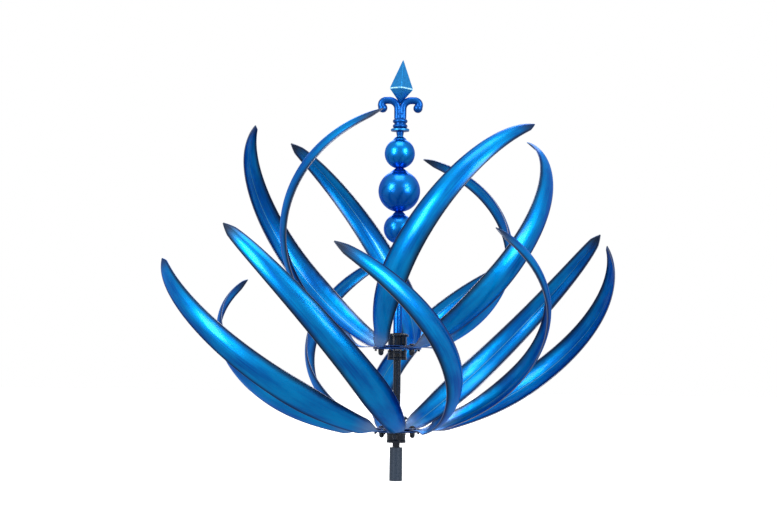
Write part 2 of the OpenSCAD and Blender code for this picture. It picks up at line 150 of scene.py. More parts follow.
def lathe(profile, segments=96, at=(0, 0), phase=0.0):
    """Vertices and faces of a closed profile of (radius, height) turned about an upright line.

    A point on the line itself makes one vertex, so the faces beside it are triangles.
    """
    vertices = []
    rows = []
    for radius, height in profile:
        if radius < 1e-6:
            rows.append([len(vertices)] * segments)
            vertices.append((at[0], at[1], height))
            continue
        rows.append(list(range(len(vertices), len(vertices) + segments)))
        for k in range(segments):
            turn = phase + 2 * math.pi * k / segments
            vertices.append((at[0] + radius * math.cos(turn), at[1] + radius * math.sin(turn), height))
    faces = []
    for i in range(len(rows)):
        low, high = rows[i], rows[(i + 1) % len(rows)]
        for k in range(segments):
            nxt = (k + 1) % segments
            corner = [low[k], low[nxt], high[nxt], high[k]]
            face = [c for n, c in enumerate(corner) if c not in corner[:n]]
            if len(face) > 2:
                faces.append(face)
    return vertices, faces


def joined(parts):
    """One vertex and face list from several."""
    vertices = []
    faces = []
    for part_vertices, part_faces in parts:
        start = len(vertices)
        vertices.extend(part_vertices)
        faces.extend([[start + c for c in face] for face in part_faces])
    return vertices, faces


def around(count, circle_d, first):
    """Places on a circle, as (x, y, angle in radians)."""
    for i in range(count):
        turn = math.radians(first + i * 360 / count)
        yield circle_d / 2 * math.cos(turn), circle_d / 2 * math.sin(turn), turn


def arc(centre, radius, start, end, steps):
    """Points on an arc, in degrees, as (radius, height) pairs."""
    cx, cz = centre
    return [(cx + radius * math.cos(math.radians(start + (end - start) * k / steps)),
             cz + radius * math.sin(math.radians(start + (end - start) * k / steps)))
            for k in range(steps + 1)]


# ---------------------------------------------------------------- materials
class Shader:
    """Builds one node material around a Principled BSDF."""

    # Numbers of the Mix node's colour sockets
    MIX_A = 6
    MIX_B = 7
    MIX_RESULT = 2

    def __init__(self, name, **values):
        self.material = bpy.data.materials.new(name)
        self.material.use_nodes = True
        self.tree = self.material.node_tree
        self.surface = self.tree.nodes["Principled BSDF"]
        for socket, value in values.items():
            self.surface.inputs[socket.replace("_", " ")].default_value = value

    def node(self, kind, inputs=None, **settings):
        made = self.tree.nodes.new("ShaderNode" + kind)
        for key, value in settings.items():
            setattr(made, key, value)
        for key, value in (inputs or {}).items():
            self.feed(made.inputs[key], value)
        return made

    def feed(self, socket, value):
        if isinstance(value, bpy.types.NodeSocket):
            self.tree.links.new(value, socket)
        else:
            socket.default_value = value

    def math(self, operation, a, b=0.0):
        return self.node("Math", {0: a, 1: b}, operation=operation).outputs[0]

    def ramp(self, factor, low, high, to_low=0.0, to_high=1.0):
        """A smooth step from to_low at low to to_high at high."""
        made = self.node("MapRange", {"Value": factor, "From Min": low, "From Max": high,
                                      "To Min": to_low, "To Max": to_high},
                         interpolation_type="SMOOTHSTEP")
        return made.outputs["Result"]

    def mix(self, factor, a, b):
        made = self.node("Mix", data_type="RGBA")
        self.feed(made.inputs["Factor"], factor)
        self.feed(made.inputs[self.MIX_A], a)
        self.feed(made.inputs[self.MIX_B], b)
        return made.outputs[self.MIX_RESULT]

    def place(self):
        """Where a point lies on the object, in metres."""
        return self.node("TexCoord").outputs["Object"]

    def noise(self, vector, scale, detail=3.0, roughness=0.5):
        made = self.node("TexNoise", {"Vector": vector, "Scale": scale, "Detail": detail,
                                      "Roughness": roughness})
        return made.outputs["Fac"]

    def grain(self, uv, stretch, place, scale=1.0, detail=3.0, roughness=0.5):
        """Noise stretched along or across a leaf, shifted by place so that no two leaves match."""
        drawn = self.node("Mapping", {"Vector": uv, "Scale": stretch}).outputs[0]
        shifted = self.node("VectorMath", {0: drawn, 1: place}, operation="ADD").outputs[0]
        return self.noise(shifted, scale, detail, roughness)

    def bump(self, height, strength, distance):
        made = self.node("Bump", {"Height": height, "Strength": strength, "Distance": distance})
        self.tree.links.new(made.outputs["Normal"], self.surface.inputs["Normal"])

    def colour(self, value):
        self.feed(self.surface.inputs["Base Color"], value)

    def roughness(self, value):
        self.feed(self.surface.inputs["Roughness"], value)


DEEP_BLUE = (0.0002, 0.10, 0.40, 1)
PEARL_BLUE = (0.0004, 0.245, 0.61, 1)
EDGE_TINT = (0.15, 0.45, 1.0, 1)
# Dark navy of painted shade, along the leaf edges and beside the hollow face's highlight line
RIM_SHADE_NAVY = (0.012, 0.016, 0.026, 1)
TIP_GREY = (0.035, 0.04, 0.055, 1)
CUT_EDGE = (0.20, 0.22, 0.30, 1)
STREAK_BLUE = (0.0006, 0.33, 0.69, 1)
ROOT_PALE = (0.30, 0.38, 0.55, 1)
# Pale blue of the painted highlight line on the hollow face
MIDDLE_HIGHLIGHT_BLUE = (0.12, 0.52, 0.86, 1)
EDGE_BLACK = (0.004, 0.005, 0.008, 1)


def leaf_lacquer():
    """Translucent blue lacquer over brushed sheet, with painted shade darkening both edges, a painted
    highlight line on the hollow face, a pale root and a grey point.
    """
    s = Shader("leaf_lacquer", Metallic=1.0, Specular_Tint=EDGE_TINT, Coat_Weight=0.14, Coat_Roughness=0.14)
    uv = s.node("UVMap", uv_map="leaf").outputs["UV"]
    split = s.node("SeparateXYZ", {0: uv})
    along = split.outputs[0]
    across = s.math("ABSOLUTE", split.outputs[1])
    hollow_side = s.math("GREATER_THAN", split.outputs[1], 0.0)
    off_middle = s.math("MULTIPLY", s.math("ABSOLUTE", s.math("SUBTRACT", across, 0.5)), 2.0)
    place = s.place()
    blotch = s.noise(place, 14.0, 3.0, 0.55)
    cloud = s.grain(uv, (6, 1.6, 1), place, scale=1.3)
    streak = s.grain(uv, (5, 26, 1), place, roughness=0.55)
    body = s.mix(s.ramp(cloud, 0.32, 0.68), DEEP_BLUE, PEARL_BLUE)
    body = s.mix(s.ramp(streak, 0.35, 0.75, 0.0, 0.3), body, STREAK_BLUE)
    # Where the painted rim shade and the grey point begin wanders a little
    wander = s.math("MULTIPLY", s.math("SUBTRACT", blotch, 0.5), 0.16)
    rim_shade = s.ramp(s.math("ADD", off_middle, wander), 0.60, 0.98, 0.0, 0.92)
    root = s.ramp(along, 0.045, 0.17, 0.85, 0.0)
    point = s.ramp(s.math("ADD", along, s.math("MULTIPLY", wander, 0.1)), 0.90, 0.985, 0.0, 0.95)
    # Painted shade: the blue darkens towards both edges of the leaf
    body = s.mix(rim_shade, body, RIM_SHADE_NAVY)
    body = s.mix(root, body, ROOT_PALE)
    # Painted highlight and painted shade along the middle of the hollow face: a thin pale line between two
    # dark ones, standing in for the light that the trough reflects
    crease_shadow = s.math("MULTIPLY", s.ramp(off_middle, 0.11, 0.02, 0.0, 0.45), hollow_side)
    middle_highlight = s.math("MULTIPLY", s.ramp(off_middle, 0.035, 0.012, 0.0, 0.6), hollow_side)
    body = s.mix(crease_shadow, body, RIM_SHADE_NAVY)
    body = s.mix(middle_highlight, body, MIDDLE_HIGHLIGHT_BLUE)
    body = s.mix(point, body, TIP_GREY)
    body = s.mix(s.ramp(off_middle, 0.94, 0.97), body, EDGE_BLACK)
    s.colour(s.mix(s.ramp(off_middle, 0.985, 0.999), body, CUT_EDGE))
    s.roughness(s.ramp(streak, 0.25, 0.75, 0.36, 0.44))
    leaf_relief(s, uv, place, along, across)
    return s.material


def leaf_relief(s, uv, place, along, across):
    """Hammer marks near one edge of the lower half, fading into faint rolling lines."""
    dents = s.grain(uv, (38, 3.2, 1), place, detail=1.0)
    roll = s.grain(uv, (4, 9, 1), place, detail=1.0, roughness=0.4)
    dent_zone = s.math("MULTIPLY", s.ramp(across, 0.62, 0.92), s.ramp(along, 0.62, 0.30))
    relief = s.math("ADD", s.math("MULTIPLY", dents, s.math("ADD", dent_zone, 0.06)),
                    s.math("MULTIPLY", roll, 0.25))
    s.bump(relief, 0.4, 0.002)


def ball_lacquer():
    """Smooth blue lacquer with a fine metal fleck."""
    s = Shader("ball_lacquer", Metallic=1.0, Specular_Tint=EDGE_TINT, Coat_Weight=0.2, Coat_Roughness=0.12)
    place = s.place()
    cloud = s.noise(place, 35.0, 3.0)
    fleck = s.noise(place, 900.0, 2.0, 0.6)
    s.colour(s.mix(s.ramp(cloud, 0.35, 0.7), (0.0002, 0.11, 0.44, 1), (0.0004, 0.19, 0.57, 1)))
    s.roughness(s.ramp(fleck, 0.3, 0.7, 0.28, 0.36))
    s.bump(cloud, 0.08, 0.0006)
    return s.material


def casting_lacquer(name, low, high):
    """Blue lacquer over a slightly lumpy casting, with a painted highlight that makes it paler along its
    edges.
    """
    s = Shader(name, Metallic=0.95, Coat_Weight=0.1, Coat_Roughness=0.25)
    place = s.place()
    lumps = s.noise(place, 240.0, 4.0, 0.6)
    cloud = s.noise(place, 60.0, 3.0)
    # Painted highlight: paler blue where the surface is sharply convex
    edge = s.ramp(s.node("NewGeometry").outputs["Pointiness"], 0.52, 0.62)
    s.colour(s.mix(edge, s.mix(cloud, low, high), (0.03, 0.30, 0.62, 1)))
    s.roughness(s.ramp(lumps, 0.3, 0.7, 0.34, 0.52))
    s.bump(lumps, 0.3, 0.0004)
    return s.material


def hub_lacquer():
    """Dark glossy blue on the discs and clamp rings."""
    s = Shader("hub_lacquer", Metallic=0.9, Coat_Weight=0.15, Coat_Roughness=0.1)
    place = s.place()
    cloud = s.noise(place, 60.0, 3.0)
    s.colour(s.mix(cloud, (0.003, 0.018, 0.075, 1), (0.005, 0.06, 0.24, 1)))
    s.roughness(s.ramp(cloud, 0.3, 0.7, 0.2, 0.32))
    s.bump(cloud, 0.05, 0.0004)
    return s.material


def black_gloss():
    """Black lacquer on the axle, collars, housings and fasteners."""
    s = Shader("black_gloss", Specular_IOR_Level=0.28, Coat_Weight=0.04, Coat_Roughness=0.05)
    place = s.place()
    speck = s.noise(place, 500.0, 3.0)
    s.colour(s.mix(s.ramp(speck, 0.4, 0.7), (0.0025, 0.0045, 0.009, 1), (0.005, 0.008, 0.015, 1)))
    s.roughness(s.ramp(speck, 0.3, 0.7, 0.12, 0.18))
    s.bump(speck, 0.015, 0.0001)
    return s.material


def slate_paint():
    """Dull slate paint on the post."""
    s = Shader("slate_paint", Metallic=0.3, Specular_IOR_Level=0.35, Coat_Weight=0.06, Coat_Roughness=0.2)
    place = s.place()
    speck = s.noise(place, 700.0, 4.0, 0.6)
    s.colour(s.mix(s.ramp(speck, 0.35, 0.7), (0.017, 0.027, 0.043, 1), (0.021, 0.032, 0.049, 1)))
    s.roughness(s.ramp(speck, 0.3, 0.7, 0.26, 0.32))
    s.bump(speck, 0.015, 0.0001)
    return s.material


def ground_steel():
    """Bare steel with fine turning marks."""
    s = Shader("ground_steel", Metallic=1.0)
    place = s.place()
    rings = s.noise(s.node("Mapping", {"Vector": place, "Scale": (1, 1, 12)}).outputs[0], 260.0, 3.0)
    s.colour(s.mix(rings, (0.42, 0.43, 0.45, 1), (0.62, 0.63, 0.66, 1)))
    s.roughness(s.ramp(rings, 0.3, 0.7, 0.18, 0.32))
    return s.material


def band_highlight_paint():
    """Painted highlight: pale bright blue for the band round the spear head's widest level."""
    s = Shader("band_highlight_paint", Metallic=0.8)
    highlight_mottle = s.noise(s.place(), 420.0, 3.0)
    s.colour(s.mix(s.ramp(highlight_mottle, 0.3, 0.6), (0.10, 0.50, 0.90, 1), (0.55, 0.88, 1.0, 1)))
    s.roughness(s.ramp(highlight_mottle, 0.3, 0.7, 0.3, 0.45))
    return s.material


def floor_paper():
    """Pale paper with a little light of its own, so that it stays white to its far edge."""
    s = Shader("floor_paper", Roughness=0.9, Emission_Color=(1, 1, 1, 1), Emission_Strength=0.62)
    place = s.place()
    s.colour(s.mix(s.noise(place, 6.0, 3.0), (0.90, 0.90, 0.90, 1), (0.93, 0.93, 0.93, 1)))
    s.material.cycles.emission_sampling = "NONE"
    return s.material


LEAF = leaf_lacquer()
BALL = ball_lacquer()
CASTING = casting_lacquer("casting_lacquer", (0.0006, 0.045, 0.25, 1), (0.001, 0.09, 0.34, 1))
SPEAR = casting_lacquer("spear_lacquer", (0.0004, 0.11, 0.39, 1), (0.0008, 0.18, 0.52, 1))
HUB_BLUE = hub_lacquer()
BLACK = black_gloss()
SLATE = slate_paint()
STEEL = ground_steel()
# Painted highlight for the band of the spear head
BAND_HIGHLIGHT = band_highlight_paint()


def finished(piece, body, node):
    """Rides a piece on its body and hides the CAD node that it stands for."""
    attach(piece, body)
    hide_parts(node)


# ---------------------------------------------------------------- blades
STATIONS = 260
STRIPS = 20
RIM_STEPS = 4
LINE_STEPS = 2400


# Share of even spacing between stations; the rest draws them together at both ends
EVEN_SHARE = 0.25
# Edges of a leaf that turn by more than this many degrees stay sharp
LEAF_SMOOTH_ANGLE = 50


def smooth_step(t):
    c = np.clip(t, 0.0, 1.0)
    return c * c * (3 - 2 * c)


def chord(u):
    """Width of the leaf outline at u: narrow root, belly at a third, rounded point."""
    belly = ROOT_SHARE + (1 - ROOT_SHARE) * smooth_step(u / BELLY_AT)
    leaf = BLADE_W * np.power(1 - u, TIP_POWER) * belly
    point = np.power(np.minimum(1, (1 - u) / POINT_SHARE), POINT_POWER)
    return np.maximum(TIP_W, leaf * point)


def bent_by(tier, u):
    """How far the middle line has turned at u, in radians, as its bend grows from root to tip."""
    return np.radians(tier["root_bend"] * u + (tier["tip_bend"] - tier["root_bend"]) * u * u / 2)


def middle_line(tier):
    """The bent middle line in its own plane, summed in short steps."""
    step = BLADE_L / LINE_STEPS
    u = (np.arange(LINE_STEPS) + 0.5) / LINE_STEPS
    flow = bent_by(tier, u)
    x = np.concatenate([[0], np.cumsum(np.cos(flow))]) * step
    y = np.concatenate([[0], np.cumsum(np.sin(flow))]) * step
    return x, y


def turn_matrix(axis, degrees):
    return np.array(Matrix.Rotation(math.radians(degrees), 3, axis))


def free_leaf(tier, u):
    """Middle points, across and hollow directions of a tier's leaf before it is placed on the hub."""
    climb, sweep, roll = (math.radians(tier[k]) for k in ("climb", "sweep", "roll"))
    level = np.array([math.cos(sweep), math.sin(sweep), 0])
    upward = np.array([0, 0, 1])
    start = math.cos(climb) * level + math.sin(climb) * upward
    rise = math.cos(climb) * upward - math.sin(climb) * level
    inward = rise * math.cos(roll) + np.cross(start, rise) * math.sin(roll)
    width_dir = np.cross(start, inward)

    flow = bent_by(tier, u)[:, None]
    line_x, line_y = middle_line(tier)
    at_u = np.linspace(0, 1, LINE_STEPS + 1)
    middle = np.interp(u, at_u, line_x)[:, None] * start + np.interp(u, at_u, line_y)[:, None] * inward
    hollow_dir = inward * np.cos(flow) - start * np.sin(flow)
    twist = np.radians(ROOT_TWIST * (1 - u))[:, None]
    across = width_dir * np.cos(twist) + hollow_dir * np.sin(twist)
    hollow = hollow_dir * np.cos(twist) - width_dir * np.sin(twist)
    return middle, across, hollow


def blade_surface(tier, index):
    """Middle points, across and hollow directions, widths and cup of one blade at each station.

    The flat tab on the disc blends into the free leaf over the first part of the length.
    """
    t = np.linspace(0, 1, STATIONS + 1)
    u = EVEN_SHARE * t + (1 - EVEN_SHARE) * smooth_step(t)
    middle, across, hollow = free_leaf(tier, u)
    turn, lift, tip_roll = tier["set"][index]
    mirror = np.diag([1, tier["sense"], 1])
    hand = turn_matrix("X", tip_roll) @ turn_matrix("Y", -lift) @ mirror
    spin = turn_matrix("Z", turn)
    leaf_mid = (middle @ hand.T + np.array([tier["root_r"], 0, -tier["root_drop"]])) @ spin.T
    leaf_across = across @ hand.T @ spin.T
    leaf_hollow = hollow @ hand.T @ spin.T

    sweep = math.radians(tier["sweep"])
    tab_dir = np.array([math.cos(sweep), tier["sense"] * math.sin(sweep), 0])
    tab_mid = np.array([tier["root_r"], 0, TAB_Z + BLADE_T / 2]) + (u * BLADE_L)[:, None] * tab_dir
    tab_across = np.array([math.sin(sweep), -tier["sense"] * math.cos(sweep), 0])
    blend = smooth_step((u - TAB_FLAT) / (TAB_SHARE - TAB_FLAT))[:, None]
    mid = tab_mid * (1 - blend) + leaf_mid * blend
    a = tab_across * (1 - blend) + leaf_across * blend
    a /= np.linalg.norm(a, axis=1)[:, None]
    up = np.array([0, 0, 1]) * (1 - blend) + leaf_hollow * blend
    h = up - a * (up * a).sum(1)[:, None]
    h /= np.linalg.norm(h, axis=1)[:, None]
    width = TAB_W * (1 - blend[:, 0]) + chord(u) * blend[:, 0]
    cup = BLADE_CUP * blend[:, 0]
    place = turn_matrix("Z", tier["first"] + index * 360 / tier["count"])
    mid = mid @ place.T + np.array([0, 0, tier["hub_z"]])
    return u, mid, a @ place.T, h @ place.T, width, cup


def section_ring():
    """Places round a blade's section: across it from -1 to 1, and degrees turned round the rim."""
    ring = [(v, 0.0) for v in np.linspace(1, -1, STRIPS + 1)]
    ring += [(-1.0, 180 * k / RIM_STEPS) for k in range(1, RIM_STEPS)]
    ring += [(v, 180.0) for v in np.linspace(-1, 1, STRIPS + 1)]
    ring += [(1.0, 180 + 180 * k / RIM_STEPS) for k in range(1, RIM_STEPS)]
    return ring


def blade_points(tier, index, ring):
    """The blade's skin, by station and place on the ring, and how far along each station lies."""
    u, mid, a, h, width, cup = blade_surface(tier, index)
    half = BLADE_T / 2
    points = []
    for v, turn in ring:
        centre = mid + a * (v * width / 2)[:, None] + h * (cup * width * v * v)[:, None]
        face_up = h - a * (4 * cup * v)[:, None]
        face_up /= np.linalg.norm(face_up, axis=1)[:, None]
        outward = a + h * (4 * cup * v)[:, None]
        outward /= np.linalg.norm(outward, axis=1)[:, None]
        lean = math.radians(turn)
        out_sign = -1 if 0 < turn < 180 else 1
        points.append(centre + half * (math.cos(lean) * face_up + out_sign * abs(math.sin(lean)) * outward))
    return np.stack(points, axis=1), u


def blade_mesh(tier, index):
    """One closed sheet with round rims.

    Its UV runs along and across the leaf. The across value is negative on the full face.
    """
    ring = section_ring()
    count = len(ring)
    points, u = blade_points(tier, index, ring)
    across_of = [(v + 1) / 2 for v, _ in ring]
    faces = []
    coords = []
    for i in range(STATIONS):
        for j in range(count):
            k = (j + 1) % count
            side = -1 if ring[j][1] == ring[k][1] == 180.0 else 1
            faces.append([i * count + j, i * count + k, (i + 1) * count + k, (i + 1) * count + j])
            coords.append([(u[i], side * across_of[j]), (u[i], side * across_of[k]),
                           (u[i + 1], side * across_of[k]), (u[i + 1], side * across_of[j])])
    root = list(range(count))
    tip = [STATIONS * count + j for j in reversed(range(count))]
    for cap, at in ((root, 0.0), (tip, 1.0)):
        faces.append(cap)
        coords.append([(at, 0.5)] * count)
    if tier["sense"] > 0:
        faces = [face[::-1] for face in faces]
        coords = [corners[::-1] for corners in coords]
    return points.reshape(-1, 3), faces, [corner for corners in coords for corner in corners]


def build_blade(tier_name, index):
    """One leaf with its tab, and the UV layer that its lacquer is laid out on."""
    tier = TIERS[tier_name]
    vertices, faces, coords = blade_mesh(tier, index)
    piece = make_object(f"{tier_name}_leaf_{index + 1}", vertices.tolist(), faces, LEAF, LEAF_SMOOTH_ANGLE)
    layer = piece.data.uv_layers.new(name="leaf")
    layer.data.foreach_set("uv", np.array(coords, dtype=np.float32).ravel())
    finished(piece, f"{tier_name}_rotor", f"{tier_name}_blade_{index + 1}")


# ---------------------------------------------------------------- hubs
def dome_nut(x, y, turn):
    """A hexagon foot with a domed end, hanging below the disc."""
    hexagon = lathe([(BOLT_R, 0), (BOLT_R, NUT_FOOT), (NUT_CORNER_R - 0.5, NUT_FOOT),
                     (NUT_CORNER_R, NUT_FOOT + 0.4), (NUT_CORNER_R, -0.4), (NUT_CORNER_R - 0.4, 0)],
                    6, (x, y), turn)
    dome = lathe([(0.0, NUT_FOOT + 0.5), (NUT_DOME_R, NUT_FOOT + 0.5)]
                 + arc((0, -NUT_H + NUT_DOME_R), NUT_DOME_R, 0, -90, 12)[:-1] + [(0.0, -NUT_H)], 40, (x, y))
    return joined([hexagon, dome])


def button_head(x, y, turn):
    """A low button head with a round socket."""
    z = CLAMP_TOP + 0.02
    crown = arc((0, z - 1.4), 4.45, 31, 62, 6)
    socket = [(1.45, z + 2.4), (1.45, z + 1.1), (0.0, z + 1.1), (0.0, z)]
    return lathe([(2.0, z), (4.25, z), (4.2, z + 0.9)] + crown + socket, 36, (x, y), turn)


def bolt_shank(x, y):
    foot = -NUT_H / 2
    return lathe([(0.0, foot), (BOLT_R, foot), (BOLT_R, CLAMP_TOP), (0.0, CLAMP_TOP)], 24, (x, y))


def rivet(x, y):
    """A domed head on a blade's tab and a tail under the disc."""
    z = CLAMP_Z - 0.03
    top = lathe([(0.0, z), (2.5, z), (2.4, z + 0.5), (1.9, z + 1.0), (1.1, z + 1.35), (0.0, z + 1.45)],
                24, (x, y))
    tail = lathe([(0.0, 0.3), (1.5, 0.3), (1.5, -2.1), (1.1, -2.5), (0.0, -2.5)], 24, (x, y))
    return joined([top, tail])


def at_height(part, z):
    vertices, faces = part
    return [(v[0], v[1], v[2] + z) for v in vertices], faces


def plate(inner, outer, low, high):
    """The profile of a flat ring."""
    return [(inner, low), (outer, low), (outer, high), (inner, high)]


def rivet_azimuth(tier):
    """Where a tab's middle line crosses the rivet circle."""
    sweep = tier["sweep"]
    inner = math.degrees(math.asin(tier["root_r"] * math.sin(math.radians(sweep)) / (RIVET_CIRCLE_D / 2)))
    return tier["first"] + tier["sense"] * (sweep - inner)


def build_hub(name):
    """Disc, clamp ring, bearing housing, dust cap, bolts, nuts and rivets of one tier."""
    tier = TIERS[name]

    def piece(part_name, part, material, slot, bevel, node):
        made = make_object(f"{name}_{part_name}", *at_height(part, tier["hub_z"]), material)
        if bevel:
            bevelled(made, bevel)
        finished(made, f"{name}_rotor", f"{name}_{node}")

    piece("disc_plate", lathe(plate(DISC_BORE_R, DISC_D / 2, 0, DISC_T), 128),
          HUB_BLUE, "hub_blue", 0.5, "hub_disc")
    piece("clamp_plate", lathe(plate(CLAMP_BORE_R, CLAMP_R, CLAMP_Z, CLAMP_TOP), 96),
          HUB_BLUE, "hub_blue", 0.4, "clamp_ring")
    barrel = [(LIP_R, 0), (SPIGOT_R, 0), (SPIGOT_R, DISC_T), (HOUSING_R, DISC_T), (HOUSING_R, HOUSING_TOP),
              (BEARING_R, HOUSING_TOP), (BEARING_R, LIP_T), (LIP_R, LIP_T)]
    piece("housing_barrel", lathe(barrel, 96), BLACK, "black_metal", 0.25, "bearing_housing")
    flange_top = COVER_Z + COVER_FLANGE_T
    bore_top = COVER_Z + COVER_BORE_DEPTH
    cover = [(COVER_BORE_R, COVER_Z), (COVER_R, COVER_Z), (COVER_R, flange_top),
             (COVER_NECK_R + 0.6, flange_top), (COVER_NECK_R, CAP_TOP), (COVER_HOLE_R, CAP_TOP),
             (COVER_HOLE_R, bore_top), (COVER_BORE_R, bore_top)]
    piece("dust_cover", lathe(cover, 96), BLACK, "black_metal", 0.35, "dust_cap")

    bolts = list(around(HUB_BOLTS, BOLT_CIRCLE_D, tier["bolts_at"]))
    heads = [button_head(x, y, turn) for x, y, turn in bolts]
    shanks = [bolt_shank(x, y) for x, y, _ in bolts]
    piece("button_bolts", joined(heads + shanks), BLACK, "black_metal", 0.15, "hub_bolts")
    nuts = [dome_nut(x, y, turn) for x, y, turn in bolts]
    piece("acorn_nuts", at_height(joined(nuts), -0.02), BLACK, "black_metal", 0, "dome_nuts")
    rivets = [rivet(x, y) for x, y, _ in around(tier["count"], RIVET_CIRCLE_D, rivet_azimuth(tier))]
    piece("leaf_rivets", joined(rivets), BLACK, "black_metal", 0, "blade_rivets")


# ---------------------------------------------------------------- fixed stack
POST_H = 45
POST_R = 8.75
SOCKET_R = 6.75
SOCKET_DEPTH = 30
SOCKET_FLOOR = 2
AXLE_R = 5
ROD_R = 4
# Clearance of a hole round the axle or the rod
SLIP = 0.03
AXLE_HOLE_R = AXLE_R + SLIP
ROD_HOLE_R = ROD_R + SLIP
COLLAR_R = 13
COLLAR_WAIST_R = 12.5
COLLAR_H = 13
COLLAR_GAP = 1.2
SCREW_HOLE_R = 2.53
SLEEVE_R = 6.15
STEM_R = 5.75
# Balls as (diameter, height of the centre)
LOWER_BALL = (41, 339)
LARGE_BALL = (56.5, 390)
UPPER_BALL = (41, 441)
SHELL = 1.2
FINIAL_Z = 471.4
NECK_H = 7.6
BALL_CAP_R = 9
LARGE_CAP_R = 12
CAP_TOP_R = 5.4
LOWER_CAP_TOP = 362.1
LARGE_CAP_TOP = 421
UPPER_CAP_TOP = FINIAL_Z - NECK_H - FACE_GAP
ROD_FROM = TIERS["upper"]["hub_z"] + CAP_TOP + 0.7
ROD_TOP = FINIAL_Z + 12


def build_post():
    """The post with its open socket, and the axle that steps down to the rod inside the balls."""
    floor_z = SOCKET_DEPTH + SOCKET_FLOOR
    profile = [(SOCKET_R, 0), (POST_R, 0), (POST_R, POST_H), (AXLE_HOLE_R, POST_H), (AXLE_HOLE_R, floor_z),
               (0, floor_z), (0, SOCKET_DEPTH), (SOCKET_R, SOCKET_DEPTH)]
    tube = bevelled(make_object("post_tube", *lathe(profile, 96), SLATE), 0.6)
    finished(tube, "post", "support_post")
    foot = floor_z + FACE_GAP
    shaft = lathe([(0, foot), (AXLE_R, foot), (AXLE_R, ROD_FROM), (ROD_R, ROD_FROM), (ROD_R, ROD_TOP),
                   (0, ROD_TOP)], 72)
    finished(bevelled(make_object("axle_shaft", *shaft, BLACK), 0.3), "post", "axle")


def build_shaft_collar(name):
    """A collar in one piece, with two raised lips and a hole for its set screw on the front."""
    top = TIERS[name]["hub_z"] - COLLAR_GAP
    low = top - COLLAR_H
    profile = [(AXLE_HOLE_R, low), (COLLAR_R, low), (COLLAR_R, low + 3), (COLLAR_WAIST_R, low + 3.4),
               (COLLAR_WAIST_R, top - 2.9), (COLLAR_R, top - 2.5), (COLLAR_R, top), (AXLE_HOLE_R, top)]
    collar = bevelled(make_object(f"{name}_collar_body", *lathe(profile, 128), BLACK, 25), 0.45)
    apply_modifiers(collar)
    drill = lathe([(0, 0), (SCREW_HOLE_R, 0), (SCREW_HOLE_R, 20), (0, 20)], 40)
    bore = make_object("bore_cutter", *drill, BLACK)
    bore.matrix_world = (Matrix.Translation((0, 0, (top - COLLAR_H / 2) * MM))
                         @ Matrix.Rotation(math.radians(90), 4, "X"))
    bpy.context.view_layer.update()
    cut = collar.modifiers.new("bore", "BOOLEAN")
    cut.object = bore
    cut.operation = "DIFFERENCE"
    cut.solver = "EXACT"
    apply_modifiers(collar)
    bpy.data.objects.remove(bore)
    finished(collar, "post", f"{name}_shaft_collar")


def build_sleeve(piece_name, node, hub_z):
    """A short ring on the axle inside a dust cap."""
    low = hub_z + HOUSING_TOP + 0.02
    high = low + CAP_TOP - HOUSING_TOP + 0.6
    ring = lathe(plate(AXLE_HOLE_R, SLEEVE_R, low, high), 72)
    finished(bevelled(make_object(piece_name, *ring, BLACK), 0.25), "post", node)


def ball_height(diameter, centre, radius, side):
    """Height of a ball's skin at a radius, above (side 1) or below (side -1) its centre."""
    return centre + side * math.sqrt((diameter / 2 + 0.02) ** 2 - radius * radius)


def build_ball(piece_name, node, size):
    """A thin round shell, threaded on the rod."""
    diameter, centre = size
    outer = diameter / 2
    inner = outer - SHELL
    from_out = math.degrees(math.acos(ROD_HOLE_R / outer))
    from_in = math.degrees(math.acos(ROD_HOLE_R / inner))
    profile = (arc((0, centre), outer, -from_out, from_out, 56)
               + arc((0, centre), inner, from_in, -from_in, 40))
    shell = make_object(piece_name, *lathe(profile, 112), BALL)
    finished(shell, "post", node)


def build_ball_cap(name, size, cap_r, top, next_size, crown):
    """A low cone on one ball that takes the next one, if any, in its top.

    A crown over 1 rounds its sides outward.
    """
    under = [(r, ball_height(*size, r, 1)) for r in np.linspace(ROD_HOLE_R, cap_r - 0.1, 6)]
    foot_z = under[-1][1] + 0.3
    flank = [(cap_r + (CAP_TOP_R - cap_r) * t, foot_z + (top - foot_z) * (crown * t + (1 - crown) * t * t))
             for t in np.linspace(0, 1, 9)]
    if next_size:
        over = [(r, min(top, ball_height(*next_size, r, -1)))
                for r in np.linspace(CAP_TOP_R - 0.2, ROD_HOLE_R, 6)]
    else:
        over = [(ROD_HOLE_R, top)]
    cap = make_object(f"{name}_globe_cap", *lathe(under + flank + over, 80), BALL, 30)
    finished(cap, "post", f"{name}_ball_cap")


def build_stem():
    """The blue tube from the upper hub to the lowest ball."""
    low = ROD_FROM + FACE_GAP
    profile = [(ROD_HOLE_R, low), (STEM_R - 0.4, low), (STEM_R, low + 0.4),
               (STEM_R, ball_height(*LOWER_BALL, STEM_R, -1)),
               (ROD_HOLE_R, ball_height(*LOWER_BALL, ROD_HOLE_R, -1))]
    finished(make_object("stem_tube", *lathe(profile, 72), BALL, 30), "post", "finial_stem")


# ---------------------------------------------------------------- finial
FLANGE_R = 12.5
FLANGE_T = 3.2
RING_R = 3.1
RING_AT_R = 6.9
RING_FEET = (3.8, 10.6)
STEM_Z = 17
SCROLL_X = 3.6
SCROLL_R = 11.4
LEVEL_L = 4.4
CURL_R = 6.5
CURL_TURN = 128
CURL_BALL_R = 6.3
CURL_BALL_OUT = 4.4
CURL_BALL_DROP = 4
ARM_R = 4.7
SCROLL_Z = STEM_Z + 13.6
SPEAR_Z = SCROLL_Z + SCROLL_R - ARM_R + 0.4
SPEAR_R = 15.7
SPEAR_LOW = 20.4
SPEAR_HIGH = 38.9
SPEAR_TIP_R = 0.6
SPEAR_BAND = 0.9
SPEAR_LEAN = 3


